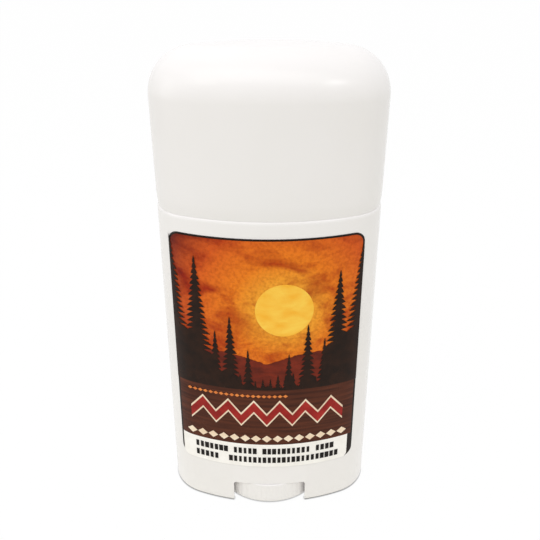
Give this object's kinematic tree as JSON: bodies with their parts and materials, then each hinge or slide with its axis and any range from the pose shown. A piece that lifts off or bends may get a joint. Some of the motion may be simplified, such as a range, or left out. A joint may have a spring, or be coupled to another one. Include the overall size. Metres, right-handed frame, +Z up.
{
  "type": "deodorant stick",
  "caption": "White oval twist-up deodorant stick with a domed cap, a hand wheel in a notched base, a feed screw, and a dark-edged picture label on the front.",
  "frame": {"origin": "centre of the oval base, on the surface that it stands on", "axes": "+Z up along the screw, -Y out of the labelled front, +X to the right of it as seen from the front"},
  "size_m": [0.0576, 0.0324, 0.126],
  "materials": {
    "white_shell": "white moulded polypropylene, softly glossy",
    "natural_plastic": "uncoloured moulded plastic",
    "thin_seal": "thin translucent white moulding",
    "product": "firm waxy solid",
    "label_border": "near-black printed film",
    "label_sky": "orange print",
    "label_panel": "brown print",
    "label_footer": "white print",
    "label_sun": "yellow print",
    "label_hills": "dark red print",
    "label_pines": "near-black print",
    "label_edging": "cream print",
    "label_band": "red print",
    "label_marks": "black print"
  },
  "bodies": {
    "container": {"barrel": "white_shell", "label": "label_border", "label_sky": "label_sky", "label_panel": "label_panel", "label_footer": "label_footer", "label_sun": "label_sun", "label_hills": "label_hills", "label_pines": "label_pines", "label_edging": "label_edging", "label_band": "label_band", "label_marks": "label_marks"},
    "drive": {"knob": "white_shell", "spindle": "natural_plastic"},
    "carriage": {"elevator": "natural_plastic", "stick": "product", "inner_seal": "thin_seal"},
    "overcap": {"cap": "white_shell"}
  },
  "joints": [
    {"name": "knob_turn", "type": "hinge", "parent": "container", "child": "drive", "pos_m": [0, 0, 0], "axis": [0, 0, 1], "range_deg": [0, 6841]},
    {"name": "elevator_rise", "type": "slide", "parent": "container", "child": "carriage", "axis": [0, 0, 1], "range_m": [0, 0.076]},
    {"name": "cap_lift", "type": "slide", "parent": "carriage", "child": "overcap", "axis": [0, 0, 1], "range_m": [0, 0.045]}
  ],
  "couplings": [
    {"joint": "knob_turn", "follows": "elevator_rise", "rad_per_m": 1570.8}
  ]
}
